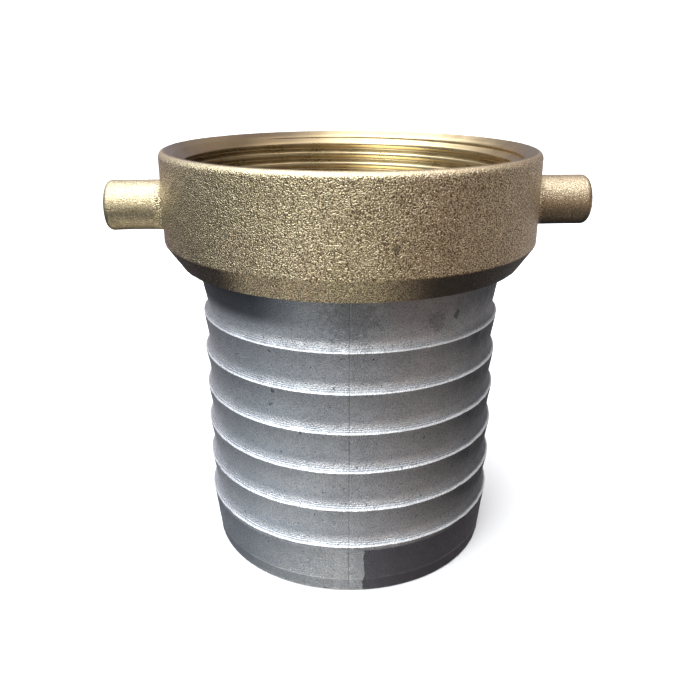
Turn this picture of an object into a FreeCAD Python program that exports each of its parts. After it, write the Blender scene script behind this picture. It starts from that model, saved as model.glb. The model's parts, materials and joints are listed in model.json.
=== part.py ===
"""Hose shank with a pin-lug swivel nut, for a 3 inch suction hose.

A cast aluminium tail piece is pushed into the hose as far as its neck. A brass nut turns freely
on the tail piece's head, and draws the head and its rubber washer against the mating half.
Millimetres. Origin at the centre of the hose end, +Z up the bore towards the nut's mouth,
pin lugs along X.
"""

import FreeCAD, Part
import math
import os

import Sketcher
from FreeCAD import Vector

# Driving sizes: alias, value in mm (or a count), what it is.
SIZES = [
    ("bore_dia", 68.0, "waterway through the shank"),
    ("end_wall", 3.15, "wall at the hose end"),
    ("end_round", 0.6, "rounded outer edge of the hose end"),
    ("end_band", 13.55, "hose end to the crest of the lowest barb"),
    ("barb_count", 6, "barbs on the shank"),
    ("barb_pitch", 10.09, "crest to crest"),
    ("barb_rise", 1.72, "lowest crest outside the hose end, on the radius"),
    ("barb_draft", 0.07, "each crest outside the one below it, on the radius"),
    ("barb_depth", 1.05, "crest to the root above it, on the radius"),
    ("ledge_width", 0.6, "steep ledge above a crest, on the radius"),
    ("ledge_height", 0.8, "steep ledge above a crest, upwards"),
    ("cove_height", 2.5, "hollow curve from the ledge up to the root"),
    ("neck_length", 13.35, "top crest to the underside of the nut"),
    ("neck_wall", 6.17, "wall of the neck under the flange"),
    ("flange_overhang", 1.88, "flange outside the neck, on the radius"),
    ("flange_thickness", 3.5, "flange inside the nut"),
    ("flange_fillet", 0.8, "hollow corner under the flange"),
    ("bore_chamfer", 0.8, "upper edge of the waterway"),
    ("gasket_thickness", 4.0, "rubber washer"),
    ("gasket_inset", 2.5, "washer's hole outside the waterway, on the radius"),
    ("gasket_grip", 1.95, "washer outside the thread, on the radius, which holds it in"),
    ("gasket_round", 0.4, "edges of the washer"),
    ("thread_pass_gap", 0.3, "flange inside the thread's crests, on the radius"),
    ("running_gap", 0.3, "free play of the nut along the axis and round the washer"),
    ("rear_hole_gap", 0.4, "nut's rear hole round the neck, on the radius"),
    ("lip_thickness", 5.0, "nut's underside to the seat under the flange"),
    ("lip_width", 3.39, "flat underside of the nut, on the radius"),
    ("seat_chamfer", 0.8, "upper edge of the rear hole, clear of the flange's fillet"),
    ("cone_height", 5.95, "cone between the underside and the nut's body"),
    ("nut_wall", 3.48, "wall round the washer"),
    ("nut_draft", 0.42, "rim outside the foot of the body, on the radius"),
    ("thread_length", 12.05, "threaded bore"),
    ("lead_in", 2.3, "bevel at 45 degrees above the thread"),
    ("mouth_width", 1.95, "shallow bevel inside the rim, on the radius"),
    ("mouth_depth", 1.1, "shallow bevel inside the rim, downwards"),
    ("rim_round", 1.6, "outer edge of the rim"),
    ("shoulder_round", 1.0, "edge between the nut's body and cone"),
    ("lip_round", 0.6, "edge between the cone and the underside"),
    ("pin_dia", 13.0, "pin lug"),
    ("pin_reach", 14.3, "pin lug outside the rim"),
    ("pin_drop", 14.45, "pin lug's axis under the rim"),
    ("pin_tip_round", 1.6, "outer edge of a pin lug"),
    ("pin_root_round", 1.0, "hollow corner round the foot of a pin lug"),
]

# Radii, each from the one inside it outwards.
BORE_R = "Sizes.bore_dia / 2"
END_R = f"{BORE_R} + Sizes.end_wall"
NECK_R = f"{BORE_R} + Sizes.neck_wall"
FLANGE_R = f"{NECK_R} + Sizes.flange_overhang"
THREAD_R = f"{FLANGE_R} + Sizes.thread_pass_gap"
GASKET_R = f"{THREAD_R} + Sizes.gasket_grip"
GASKET_HOLE_R = f"{BORE_R} + Sizes.gasket_inset"
REAR_HOLE_R = f"{NECK_R} + Sizes.rear_hole_gap"
RECESS_R = f"{GASKET_R} + Sizes.running_gap"
LIP_R = f"{REAR_HOLE_R} + Sizes.lip_width"
BODY_R = f"{RECESS_R} + Sizes.nut_wall"
RIM_R = f"{BODY_R} + Sizes.nut_draft"

# Heights on the shank, from the hose end.
TOP_CREST_Z = "Sizes.end_band + (Sizes.barb_count - 1) * Sizes.barb_pitch"
NUT_Z = f"{TOP_CREST_Z} + Sizes.neck_length"
FLANGE_Z = f"{NUT_Z} + Sizes.lip_thickness + Sizes.running_gap"
HEAD_Z = f"{FLANGE_Z} + Sizes.flange_thickness"

# Heights on the nut, from its own underside.
THREAD_FOOT = (
    "Sizes.lip_thickness + Sizes.flange_thickness + Sizes.gasket_thickness"
    " + 2 * Sizes.running_gap"
)
THREAD_TOP = f"{THREAD_FOOT} + Sizes.thread_length"
MOUTH_FOOT = f"{THREAD_TOP} + Sizes.lead_in"
NUT_TOP = f"{MOUTH_FOOT} + Sizes.mouth_depth"

NEAR = 1e-4
VOLUME_STEP = 1.0

doc = FreeCAD.newDocument("hose_coupling_half")


def make_sheet():
    """The spreadsheet of driving sizes."""
    sheet = doc.addObject("Spreadsheet::Sheet", "Sizes")
    for row, (alias, value, meaning) in enumerate(SIZES, start=1):
        sheet.set(f"A{row}", alias)
        sheet.set(f"B{row}", str(value))
        sheet.set(f"C{row}", meaning)
        sheet.setAlias(f"B{row}", alias)
    doc.recompute()
    return sheet


sheet = make_sheet()


def value(expression):
    """The number that an expression of the sheet's sizes has now."""
    return float(sheet.evalExpression(expression))


def make_body(label):
    """A body whose label is the sub-part's name."""
    body = doc.addObject("PartDesign::Body", label)
    body.Label = label
    return body


def plane_of(body, role):
    """One of the body's own origin planes."""
    return next(o for o in body.Origin.OriginFeatures if o.Role == role)


def sketch_on(body, name, role):
    """An empty sketch on one of the body's origin planes."""
    sketch = body.newObject("Sketcher::SketchObject", name)
    sketch.AttachmentSupport = [(plane_of(body, role), "")]
    sketch.MapMode = "FlatFace"
    return sketch


def bind(sketch, constraint, name, expression):
    """Adds a constraint with a size, and ties that size to the sheet."""
    index = sketch.addConstraint(constraint)
    sketch.renameConstraint(index, name)
    sketch.setExpression(f"Constraints.{name}", expression)


def hollow_arc(start, end, leaving):
    """An arc from start that leaves it along a direction and passes through end."""
    chord = end - start
    normal = Vector(-leaving.y, leaving.x, 0)
    radius = chord.Length**2 / (2 * chord.dot(normal))
    centre = start + normal * radius
    half_turn = math.atan2(leaving.cross(chord).z, leaving.dot(chord))
    axis = Vector(0, 0, 1)
    middle = centre + FreeCAD.Rotation(axis, math.degrees(half_turn)) * (start - centre)
    return Part.Arc(start, middle, end)


def closed_profile(sketch, corners):
    """A closed outline in a sketch, with each corner at its distance from the axis and its height.

    A corner is (name, radius expression, height expression, form), where form is "line" or "cove" and
    says how the outline goes on from that corner. A cove leaves its corner along the side before it.
    """
    points = [Vector(value(radius), value(height), 0) for _, radius, height, _ in corners]
    count = len(corners)
    for i, (_, _, _, form) in enumerate(corners):
        start = points[i]
        end = points[(i + 1) % count]
        if form == "cove":
            leaving = (start - points[i - 1]).normalize()
            sketch.addGeometry(hollow_arc(start, end, leaving), False)
        else:
            sketch.addGeometry(Part.LineSegment(start, end), False)
    # which end of each side comes first: an arc runs anticlockwise, so its own start may come last
    ends = []
    for i in range(count):
        first = sketch.getPoint(i, 1)
        ends.append((1, 2) if first.isEqual(points[i], NEAR) else (2, 1))
    for i, (name, radius, height, form) in enumerate(corners):
        before = (i - 1) % count
        joint = "Tangent" if form == "cove" else "Coincident"
        sketch.addConstraint(Sketcher.Constraint(joint, before, ends[before][1], i, ends[i][0]))
        across = Sketcher.Constraint("DistanceX", -1, 1, i, ends[i][0], points[i].x)
        upwards = Sketcher.Constraint("DistanceY", -1, 1, i, ends[i][0], points[i].y)
        bind(sketch, across, f"{name}_radius", radius)
        if abs(points[i].y) < NEAR and height == "0":
            sketch.addConstraint(Sketcher.Constraint("PointOnObject", i, ends[i][0], -1))
        else:
            bind(sketch, upwards, f"{name}_height", height)


def turned(body, kind, name, sketch):
    """A full revolution or groove of a sketch about the axis."""
    feature = body.newObject(kind, name)
    feature.Profile = sketch
    feature.ReferenceAxis = (sketch, ["V_Axis"])
    feature.Angle = 360
    body.Tip = feature
    doc.recompute()
    return feature


def edges_where(feature, wanted):
    """Names of the feature's edges that meet a condition."""
    return [f"Edge{i}" for i, edge in enumerate(feature.Shape.Edges, start=1) if wanted(edge)]


def ring(radius, height):
    """A condition met by the circle of that radius about the axis at that height."""

    def wanted(edge):
        curve = edge.Curve
        if not isinstance(curve, Part.Circle):
            return False
        offset = math.hypot(curve.Center.x, curve.Center.y)
        return (
            offset < NEAR
            and abs(curve.Radius - value(radius)) < NEAR
            and abs(curve.Center.z - value(height)) < NEAR
        )

    return wanted


def rounded(body, name, size, wanted):
    """A fillet of a named size on the edges that meet a condition."""
    base = body.Tip
    names = edges_where(base, wanted)
    if not names:
        raise RuntimeError(f"{name}: no such edge")
    fillet = body.newObject("PartDesign::Fillet", name)
    fillet.Base = (base, names)
    fillet.setExpression("Radius", size)
    body.Tip = fillet
    doc.recompute()
    return fillet


def bevelled(body, name, size, wanted):
    """A chamfer of a named size on the edges that meet a condition."""
    base = body.Tip
    names = edges_where(base, wanted)
    if not names:
        raise RuntimeError(f"{name}: no such edge")
    chamfer = body.newObject("PartDesign::Chamfer", name)
    chamfer.Base = (base, names)
    chamfer.setExpression("Size", size)
    body.Tip = chamfer
    doc.recompute()
    return chamfer


def check_cut(before, feature):
    """Stops if a cut took nothing away."""
    if before - feature.Shape.Volume < VOLUME_STEP:
        raise RuntimeError(f"{feature.Name} cut nothing")


def barb_corners(barb):
    """One barb of the shank's outline, from its crest up to its root. Barb 0 is the lowest."""
    crest_r = f"{END_R} + Sizes.barb_rise + {barb} * Sizes.barb_draft"
    crest_z = f"Sizes.end_band + {barb} * Sizes.barb_pitch"
    ledge_r = f"{crest_r} - Sizes.ledge_width"
    ledge_z = f"{crest_z} + Sizes.ledge_height"
    root_r = f"{crest_r} - Sizes.barb_depth"
    root_z = f"{ledge_z} + Sizes.cove_height"
    return [
        (f"root_{barb}", root_r, root_z, "cove"),
        (f"ledge_{barb}", ledge_r, ledge_z, "line"),
        (f"crest_{barb}", crest_r, crest_z, "line"),
    ]


def make_shank():
    """The cast tail piece: head, neck and barbs in one turned outline, from the head downwards."""
    body = make_body("hose_shank")
    outline = sketch_on(body, "ShankOutline", "XZ_Plane")
    corners = [
        ("head_inner", BORE_R, HEAD_Z, "line"),
        ("head_outer", FLANGE_R, HEAD_Z, "line"),
        ("flange_under", FLANGE_R, FLANGE_Z, "line"),
        ("neck_top", NECK_R, FLANGE_Z, "line"),
        ("neck_foot", NECK_R, NUT_Z, "line"),
    ]
    for barb in reversed(range(round(value("Sizes.barb_count")))):
        corners += barb_corners(barb)
    corners += [
        ("end_outer", END_R, "0", "line"),
        ("end_inner", BORE_R, "0", "line"),
    ]
    closed_profile(outline, corners)
    turned(body, "PartDesign::Revolution", "ShankTurned", outline)
    rounded(body, "FlangeFillet", "Sizes.flange_fillet", ring(NECK_R, FLANGE_Z))
    rounded(body, "EndRound", "Sizes.end_round", ring(END_R, "0"))
    bevelled(body, "BoreChamfer", "Sizes.bore_chamfer", ring(BORE_R, HEAD_Z))
    return body


def make_gasket():
    """The rubber washer on the shank's head, drawn from its own underside."""
    body = make_body("gasket")
    outline = sketch_on(body, "GasketOutline", "XZ_Plane")
    closed_profile(
        outline,
        [
            ("top_inner", GASKET_HOLE_R, "Sizes.gasket_thickness", "line"),
            ("top_outer", GASKET_R, "Sizes.gasket_thickness", "line"),
            ("low_outer", GASKET_R, "0", "line"),
            ("low_inner", GASKET_HOLE_R, "0", "line"),
        ],
    )
    turned(body, "PartDesign::Revolution", "GasketTurned", outline)

    def outer_edge(edge):
        return ring(GASKET_R, "0")(edge) or ring(GASKET_R, "Sizes.gasket_thickness")(edge)

    rounded(body, "GasketRound", "Sizes.gasket_round", outer_edge)
    body.setExpression("Placement.Base.z", HEAD_Z)
    return body


def add_pins(body):
    """The two pin lugs, drawn as one bar across the nut before its bore is cut."""
    outline = sketch_on(body, "PinOutline", "YZ_Plane")
    height = f"{NUT_TOP} - Sizes.pin_drop"
    centre = Vector(0, value(height), 0)
    outline.addGeometry(Part.Circle(centre, Vector(0, 0, 1), value("Sizes.pin_dia / 2")), False)
    outline.addConstraint(Sketcher.Constraint("PointOnObject", 0, 3, -2))
    upwards = Sketcher.Constraint("DistanceY", -1, 1, 0, 3, centre.y)
    bind(outline, upwards, "pin_height", height)
    across = Sketcher.Constraint("Diameter", 0, value("Sizes.pin_dia"))
    bind(outline, across, "pin_across", "Sizes.pin_dia")
    bar = body.newObject("PartDesign::Pad", "PinBar")
    bar.Profile = outline
    bar.SideType = "Symmetric"
    bar.setExpression("Length", f"2 * ({RIM_R} + Sizes.pin_reach)")
    body.Tip = bar
    doc.recompute()

    pin_r = value("Sizes.pin_dia / 2")
    tip_x = value(f"{RIM_R} + Sizes.pin_reach")

    def tip(edge):
        return isinstance(edge.Curve, Part.Circle) and abs(abs(edge.Curve.Center.x) - tip_x) < NEAR

    def root(edge):
        # the wall's seam parts one pin's root edge into two halves
        box = edge.BoundBox
        beside = min(abs(box.XMin), abs(box.XMax)) > value(LIP_R) and box.XLength < pin_r
        halfway_round = pin_r * 0.9 < max(abs(box.YMin), abs(box.YMax)) < pin_r * 1.1
        return beside and halfway_round and not tip(edge)

    rounded(body, "PinRoots", "Sizes.pin_root_round", root)
    rounded(body, "PinTips", "Sizes.pin_tip_round", tip)
    if abs(body.Tip.Shape.Solids[0].CenterOfMass.x) > NEAR:
        raise RuntimeError("the two pin lugs differ")


def make_nut():
    """The brass nut, drawn from its own underside: the solid casting, its pin lugs, then the bore."""
    body = make_body("swivel_nut")
    outline = sketch_on(body, "NutOutline", "XZ_Plane")
    closed_profile(
        outline,
        [
            ("top_axis", "0", NUT_TOP, "line"),
            ("rim", RIM_R, NUT_TOP, "line"),
            ("shoulder", BODY_R, "Sizes.cone_height", "line"),
            ("lip", LIP_R, "0", "line"),
            ("low_axis", "0", "0", "line"),
        ],
    )
    turned(body, "PartDesign::Revolution", "NutTurned", outline)
    rounded(body, "RimRound", "Sizes.rim_round", ring(RIM_R, NUT_TOP))
    rounded(body, "ShoulderRound", "Sizes.shoulder_round", ring(BODY_R, "Sizes.cone_height"))
    rounded(body, "LipRound", "Sizes.lip_round", ring(LIP_R, "0"))
    add_pins(body)

    solid_volume = body.Tip.Shape.Volume
    inside = sketch_on(body, "NutInside", "XZ_Plane")
    mouth_r = f"{THREAD_R} + Sizes.lead_in"
    closed_profile(
        inside,
        [
            ("axis_top", "0", NUT_TOP, "line"),
            ("mouth_outer", f"{mouth_r} + Sizes.mouth_width", NUT_TOP, "line"),
            ("mouth_inner", mouth_r, MOUTH_FOOT, "line"),
            ("thread_top", THREAD_R, THREAD_TOP, "line"),
            ("thread_foot", THREAD_R, THREAD_FOOT, "line"),
            ("recess_top", RECESS_R, THREAD_FOOT, "line"),
            ("recess_foot", RECESS_R, "Sizes.lip_thickness", "line"),
            ("seat_inner", REAR_HOLE_R, "Sizes.lip_thickness", "line"),
            ("hole_foot", REAR_HOLE_R, "0", "line"),
            ("axis_low", "0", "0", "line"),
        ],
    )
    bored = turned(body, "PartDesign::Groove", "NutBored", inside)
    check_cut(solid_volume, bored)
    bevelled(body, "SeatChamfer", "Sizes.seat_chamfer", ring(REAR_HOLE_R, "Sizes.lip_thickness"))
    body.setExpression("Placement.Base.z", NUT_Z)
    return body


def check_document():
    """Stops if any object of the document failed."""
    for obj in doc.Objects:
        if "Invalid" in obj.State or "Error" in obj.State:
            raise RuntimeError(f"{obj.Name} failed: {obj.State}")


def export(bodies):
    """Writes each body's shape to the file that its label names."""
    os.makedirs("parts", exist_ok=True)
    for body in bodies:
        shape = body.Shape
        if shape.isNull() or not shape.isValid() or len(shape.Solids) != 1:
            raise RuntimeError(f"{body.Label} isn't one valid solid")
        shape.exportStep(f"parts/{body.Label}.step")
        box = shape.BoundBox
        print(f"{body.Label}: {shape.Volume:.0f} mm3, z {box.ZMin:.2f} to {box.ZMax:.2f}, x {box.XLength:.2f}")


bodies = [make_shank(), make_nut(), make_gasket()]
doc.recompute()
check_document()
export(bodies)
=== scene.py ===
"""Looks of a hose shank with its pin-lug swivel nut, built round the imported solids.

The shank is cast aluminium, the nut sand-cast brass with a machined mouth and a cut thread, and the
washer between them rubber. Lengths here are in millimetres. Meshes are written in metres.
"""

import json
import math

import bmesh
import bpy
import numpy as np
from mathutils import Matrix, Vector


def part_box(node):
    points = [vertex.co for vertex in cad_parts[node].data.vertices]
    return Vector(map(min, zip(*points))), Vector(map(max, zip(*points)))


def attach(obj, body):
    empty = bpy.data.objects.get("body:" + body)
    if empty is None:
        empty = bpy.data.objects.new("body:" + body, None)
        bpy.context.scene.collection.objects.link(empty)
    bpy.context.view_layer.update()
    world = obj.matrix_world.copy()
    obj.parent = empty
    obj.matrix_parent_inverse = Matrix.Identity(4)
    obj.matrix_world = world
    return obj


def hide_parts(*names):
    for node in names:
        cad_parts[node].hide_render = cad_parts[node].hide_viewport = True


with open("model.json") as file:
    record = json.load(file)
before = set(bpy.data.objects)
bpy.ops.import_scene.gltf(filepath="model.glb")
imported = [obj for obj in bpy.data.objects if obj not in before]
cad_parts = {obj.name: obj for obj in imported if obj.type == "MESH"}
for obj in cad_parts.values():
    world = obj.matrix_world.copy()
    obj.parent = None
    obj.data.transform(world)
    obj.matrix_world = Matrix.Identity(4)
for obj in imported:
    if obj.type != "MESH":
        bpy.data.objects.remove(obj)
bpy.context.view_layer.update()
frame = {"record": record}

MM = 0.001
TURN = 2 * math.pi

# What the frame says.
MOUNTS = {mount["name"]: mount for mount in frame["record"]["mounts"]}
BORE_R = MOUNTS["waterway"]["dims"]["r_mm"]
THREAD_R = MOUNTS["thread"]["dims"]["r_mm"]
THREAD_LENGTH = MOUNTS["thread"]["dims"]["length_mm"]
THREAD_MIDDLE = MOUNTS["thread"]["pos_m"][2] / MM
PIN_R = MOUNTS["pin_lug_right"]["dims"]["r_mm"]
PIN_Z = MOUNTS["pin_lug_right"]["pos_m"][2] / MM
NUT_LOW, NUT_HIGH = (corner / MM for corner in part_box("swivel_nut"))
SHANK_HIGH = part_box("hose_shank")[1] / MM
GASKET_LOW, GASKET_HIGH = (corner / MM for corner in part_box("gasket"))

# The shank's own sizes, as in its solid.
SHANK_WALL = 3.15
END_R = BORE_R + SHANK_WALL
END_ROUND = 0.6
END_BAND = 13.55
BARB_COUNT = 6
BARB_PITCH = 10.09
BARB_RISE = 1.72
BARB_DRAFT = 0.07
BARB_DEPTH = 1.05
LEDGE_WIDTH = 0.6
LEDGE_HEIGHT = 0.8
COVE_HEIGHT = 2.5
CREST_ROUND = 0.13
NECK_WALL = 6.17
NECK_R = BORE_R + NECK_WALL
FLANGE_REACH = 1.88
FLANGE_R = NECK_R + FLANGE_REACH
FLANGE_THICKNESS = 3.5
FLANGE_FILLET = 0.8
BORE_CHAMFER = 0.8

# The nut's own sizes, as in its solid.
NUT_CLEARANCE = 0.4
REAR_HOLE_R = NECK_R + NUT_CLEARANCE
LIP_WALL = 3.39
LIP_R = REAR_HOLE_R + LIP_WALL
LIP_THICKNESS = 5.0
LIP_ROUND = 0.6
SEAT_CHAMFER = 0.8
CONE_HEIGHT = 5.95
RECESS_DEPTH = 2.25
RECESS_R = THREAD_R + RECESS_DEPTH
BODY_WALL = 3.48
BODY_R = RECESS_R + BODY_WALL
RIM_R = NUT_HIGH.y
RIM_ROUND = 1.6
SHOULDER_ROUND = 1.0
LEAD_IN = 2.3
MOUTH_WIDTH = 1.95
MOUTH_DEPTH = 1.1
MOUTH_FOOT = NUT_HIGH.z - MOUTH_DEPTH - LEAD_IN
PIN_TIP_ROUND = 1.6
PIN_ROOT_ROUND = 1.0

# The washer's own size: how far its hole stands back from the bore.
GASKET_SETBACK = 2.5

# Small roundings: the mouth's and the washer hole's edges, other edges, the washer's outside.
SHARP_EDGE = 0.15
SMALL_EDGE = 0.2
WASHER_EDGE = 0.4

# The thread that the solid leaves as a plain bore: 8 to the inch, 60 degrees, right-hand.
THREAD_FOOT = THREAD_MIDDLE - THREAD_LENGTH / 2
THREAD_PITCH = 25.4 / 8
THREAD_DEPTH = 1.72
THREAD_CREST_FLAT = THREAD_PITCH / 4
THREAD_FLANK = THREAD_DEPTH * math.tan(math.radians(30))
# Rows of points lie this near to the thread's edges. Turns to spare are laid out at its ends.
THREAD_EDGE = 0.05
THREAD_SPARE_TURNS = 2

# The photograph's camera. It stood a little to the left of square to the pin lugs.
CAMERA_YAW = math.radians(2.98)
CAMERA_PITCH = math.radians(16.36)
CAMERA_ROLL = math.radians(0.2)
CAMERA_DISTANCE = 198.4
CAMERA_ABOVE_RIM = 20.6
PICTURE = 700
FOCAL_PIXELS = 761.9
AXIS_PIXEL_X = 350.2
AXIS_PIXEL_Y = 286.5
SENSOR = 36.0

# Directions on the part: to the side that the photograph shows, to its right, up, and to a lug.
FRONT = -math.pi / 2 - CAMERA_YAW
FORWARD = (math.cos(FRONT), math.sin(FRONT), 0.0)
RIGHT = (-math.sin(FRONT), math.cos(FRONT), 0.0)
UP = (0.0, 0.0, 1.0)
TO_LUG = (1.0, 0.0, 0.0)

# The studio's glows: degrees right of the front, degrees up, tightness and colour.
GLOWS = (
    (-60, 60, 9, (3.2, 3.5, 3.8)),
    (-28, 42, 20, (3.2, 3.2, 3.1)),
    (-120, 55, 9, (1.0, 1.0, 1.05)),
    (0, 55, 9, (0.6, 0.65, 0.7)),
    (90, 45, 20, (0.6, 0.6, 0.6)),
    (90, 62, 40, (2.4, 2.3, 2.1)),
    (125, 60, 14, (0.5, 0.47, 0.44)),
    (150, 42, 12, (0.4, 0.34, 0.34)),
    (0, 78, 9, (1.9, 1.95, 2.1)),
    (-130, 68, 12, (1.5, 1.55, 1.7)),
    (-145, 69, 30, (0.8, 0.75, 0.7)),
    (-140, 0, 9, (0.5, 0.42, 0.45)),
    (-28, 24, 20, (1.05, 1.05, 1.0)),
    (-45, 18, 9, (0.22, 0.17, 0.12)),
    (0, 18, 9, (0.44, 0.34, 0.24)),
    (50, -12, 9, (0.46, 0.31, 0.24)),
    (110, -15, 12, (0.68, 0.64, 0.62)),
    (145, -8, 20, (0.55, 0.52, 0.55)),
    (180, 18, 9, (0.25, 0.24, 0.28)),
    (-40, -12, 9, (0.12, 0.12, 0.11)),
    (-60, -38, 9, (0.16, 0.24, 0.34)),
    (0, -40, 9, (0.08, 0.11, 0.15)),
    (-80, -78, 22, (3.6, 3.3, 2.8)),
)


def on_front(angle_degrees, height, radius):
    """The point, in metres, at an angle right of the front and a height on a cylinder."""
    angle = FRONT + math.radians(angle_degrees)
    return (radius * math.cos(angle) * MM, radius * math.sin(angle) * MM, height * MM)


# Outlines: points (radius, height) in millimetres.


def rounded_outline(corners, step, arc_parts=6):
    """An outline through corners (radius, height, rounding), with its straight runs divided."""
    count = len(corners)
    points = []
    for i, (r, z, rounding) in enumerate(corners):
        here = np.array([r, z])
        if rounding == 0:
            points.append(here)
            continue
        back = np.array(corners[i - 1][:2]) - here
        ahead = np.array(corners[(i + 1) % count][:2]) - here
        back /= np.linalg.norm(back)
        ahead /= np.linalg.norm(ahead)
        half = math.acos(np.clip(back @ ahead, -1, 1)) / 2
        reach = rounding / math.tan(half)
        middle = (back + ahead) / np.linalg.norm(back + ahead)
        centre = here + middle * rounding / math.sin(half)
        first = here + back * reach - centre
        last = here + ahead * reach - centre
        spread = math.pi - 2 * half
        for k in range(arc_parts + 1):
            share = k / arc_parts
            mixed = first * math.sin((1 - share) * spread) + last * math.sin(share * spread)
            points.append(centre + mixed / math.sin(spread))
    return divided(points, step)


def divided(points, step):
    """A closed outline with every run longer than the step cut into equal parts."""
    out = []
    for i, start in enumerate(points):
        end = points[(i + 1) % len(points)]
        parts = max(1, math.ceil(np.linalg.norm(end - start) / step))
        out += [start + (end - start) * k / parts for k in range(parts)]
    return np.array(out)


def quarter_turn(parts):
    """The angles of a quarter turn cut into equal parts, without the first."""
    return np.linspace(0, math.pi / 2, parts + 1)[1:]


def cove(root, ledge, leaving, parts=9):
    """Points of the arc that leaves a root along a direction and ends at the ledge."""
    chord = ledge - root
    normal = np.array([-leaving[1], leaving[0]])
    radius = (chord @ chord) / (2 * (chord @ normal))
    centre = root + normal * radius
    turn = 2 * math.atan2(leaving[0] * chord[1] - leaving[1] * chord[0], leaving @ chord)
    spoke = root - centre
    points = []
    for k in range(parts + 1):
        c, s = math.cos(turn * k / parts), math.sin(turn * k / parts)
        points.append(centre + np.array([c * spoke[0] - s * spoke[1], s * spoke[0] + c * spoke[1]]))
    return points


# Surface unevenness, the same on every run.


class Ripple:
    """A smooth random unevenness over angle and height, with given wavelengths in millimetres."""

    def __init__(self, seed, radius, shortest, longest, waves=70):
        rng = np.random.default_rng(seed)
        length = np.exp(rng.uniform(math.log(shortest), math.log(longest), waves))
        heading = rng.uniform(0, TURN, waves)
        self.around = np.round(radius * TURN / length * np.cos(heading))
        self.along = TURN / length * np.sin(heading)
        self.phase = rng.uniform(0, TURN, waves)

    def at(self, angle, height):
        """The unevenness, mostly between -1 and 1."""
        total = np.zeros(np.broadcast(angle, height).shape)
        for around, along, phase in zip(self.around, self.along, self.phase):
            total += np.cos(around * angle + along * height + phase)
        return total / math.sqrt(len(self.phase))


def dip(distance, width):
    """A smooth dip: 1 at no distance, falling away over a width."""
    return np.exp(-((distance / width) ** 2))


def angle_from(angles, centre):
    """Signed angles from a centre, between minus and plus half a turn."""
    return np.mod(angles - centre + math.pi, TURN) - math.pi


# Meshes.

# Points nearer than this, in metres, are joined into one.
JOIN = 1e-7


def grid_angles(count, fine_at=(), fine_half=0.0, fine_count=0):
    """Angles round a ring, evenly spread, and closer together near the given angles."""
    angles = list(np.arange(count) * TURN / count)
    for centre in fine_at:
        angles = [a for a in angles if abs(angle_from(a, centre)) > fine_half]
        angles += list(centre + np.linspace(-fine_half, fine_half, fine_count))
    return np.sort(np.mod(angles, TURN))


def grid_faces(rows, columns, closed_rows):
    """Quads of a grid whose columns close on themselves, and whose rows may."""
    faces = []
    for i in range(rows if closed_rows else rows - 1):
        here = i * columns
        above = (i + 1) % rows * columns
        for j in range(columns):
            beside = (j + 1) % columns
            faces.append((here + j, here + beside, above + beside, above + j))
    return faces


def carried_round(outline, angles):
    """The radii and the heights of an outline carried round, each rows by columns."""
    count = len(angles)
    return np.repeat(outline[:, :1], count, 1), np.repeat(outline[:, 1:], count, 1)


def ring_points(radius, height, angles):
    """Points of a grid in millimetres, from its radii and heights, each rows by columns."""
    across = np.broadcast_to(angles, radius.shape)
    return np.stack([radius * np.cos(across), radius * np.sin(across), height], -1).reshape(-1, 3)


def make_piece(name, points, faces, materials, face_material=None):
    """A smooth mesh object from points in millimetres. Points that coincide are joined."""
    mesh = bpy.data.meshes.new(name)
    mesh.from_pydata((np.asarray(points) * MM).tolist(), [], faces)
    for material in materials:
        mesh.materials.append(material)
    if face_material is not None:
        mesh.polygons.foreach_set("material_index", np.asarray(face_material, np.int32))
    edit = bmesh.new()
    edit.from_mesh(mesh)
    bmesh.ops.remove_doubles(edit, verts=edit.verts, dist=JOIN)
    bmesh.ops.recalc_face_normals(edit, faces=edit.faces)
    for face in edit.faces:
        face.smooth = True
    edit.to_mesh(mesh)
    edit.free()
    piece = bpy.data.objects.new(name, mesh)
    bpy.context.scene.collection.objects.link(piece)
    return piece


# The shank.

SHANK_COLUMNS = 332
SHANK_STEP = 0.7
# One row in this many is kept down the plain bore.
BORE_ROWS = 8
# A point this near to the bore or to the hose end lies on it.
NEAR = 0.01
# How near to the hose end, the head and the bore the casting marks stop.
PLAIN_END = 0.4
PLAIN_HEAD = 0.5
PLAIN_WALL = 1.5
# The casting's unevenness: its height, its shortest and longest waves, and its random seed.
CAST_SWELL = 0.05
CAST_WAVES = (3.0, 22.0)
CAST_SEED = 3
# The parting line: half its fine columns' angle, their count, and its depth and width.
PARTING_HALF = math.radians(1.6)
PARTING_COLUMNS = 21
PARTING_DEPTH = 0.07
PARTING_WIDTH = 0.16
# The crease above each ledge, how it wanders up and down, and the random seed of that.
CREASE_DEPTH = 0.07
CREASE_WIDTH = 0.16
CREASE_WANDER = 0.06
CREASE_WAVES = (9.0, 40.0)
CREASE_WAVE_COUNT = 20
CREASE_SHIFT = 17.0
CREASE_SEED = 8
# Nicks in each crest: count, depth and least share of it, widths, reach up and down, and seed.
NICK_COUNT = 26
NICK_DEPTH = 0.22
NICK_SHALLOWEST = 0.1
NICK_WIDTHS = (0.25, 0.9)
NICK_REACH = 0.45
NICK_SEED = 21
# Where the dark skin of the end band starts, right of the front.
DARK_FROM = 3.3
# Lines round the shank above each crest: height and strength.
LEDGE_LINES = ((0.48, 1.0), (0.85, 0.7), (1.25, 0.4))
# The radius that the shank's stains are centred on.
STAIN_R = NECK_R - 1.5
# Stains on the shank: degrees right of the front, height, width and strength.
STAINS = (
    (0.0, 72.5, 12.0, 0.3),
    (30.5, 69.8, 5.0, 0.35),
    (40.0, 70.4, 2.0, 0.75),
    (-28.8, 63.0, 1.1, 0.8),
    (-25.6, 62.7, 0.8, 0.7),
    (-27.7, 52.9, 1.1, 0.8),
    (-29.1, 48.9, 1.0, 0.8),
    (-17.2, 43.5, 0.9, 0.7),
)


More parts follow.
